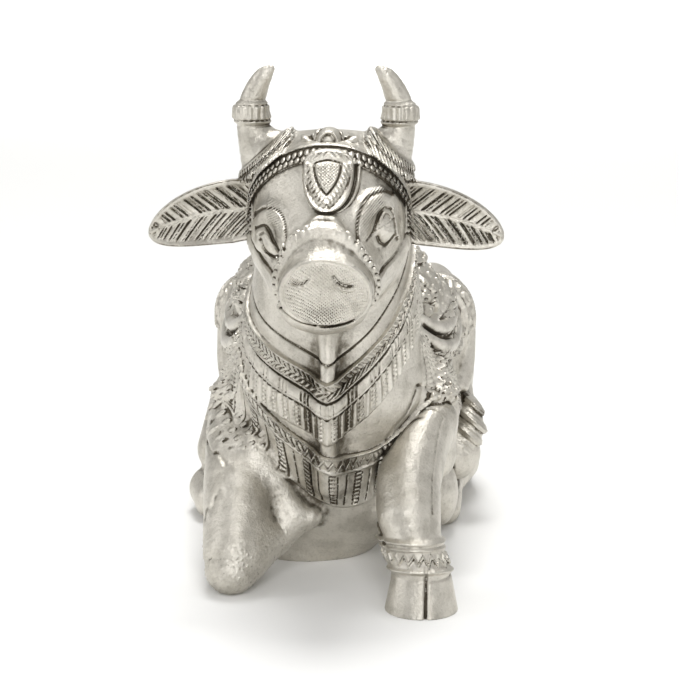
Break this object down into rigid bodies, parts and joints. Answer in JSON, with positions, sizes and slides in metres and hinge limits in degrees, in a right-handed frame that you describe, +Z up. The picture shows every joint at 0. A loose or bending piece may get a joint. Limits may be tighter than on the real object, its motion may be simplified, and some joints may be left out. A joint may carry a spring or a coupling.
{
  "type": "nandi bull figure",
  "caption": "Recumbent bull ornament in silver-coloured metal, with horns, a bridle, collars, a saddle cloth and an anklet chased on it; stands on its own flat underside.",
  "frame": {"origin": "centre of the footprint's bounding box, on the ground plane", "axes": "+Z up, -Y the way the bull faces, +X towards the bull's own left"},
  "size_m": [0.0768, 0.1276, 0.113],
  "materials": {
    "silver_metal": "satin, cast and chased, dark patina in the recesses"
  },
  "bodies": {
    "root": {"nandi_bull": "silver_metal"}
  },
  "joints": []
}
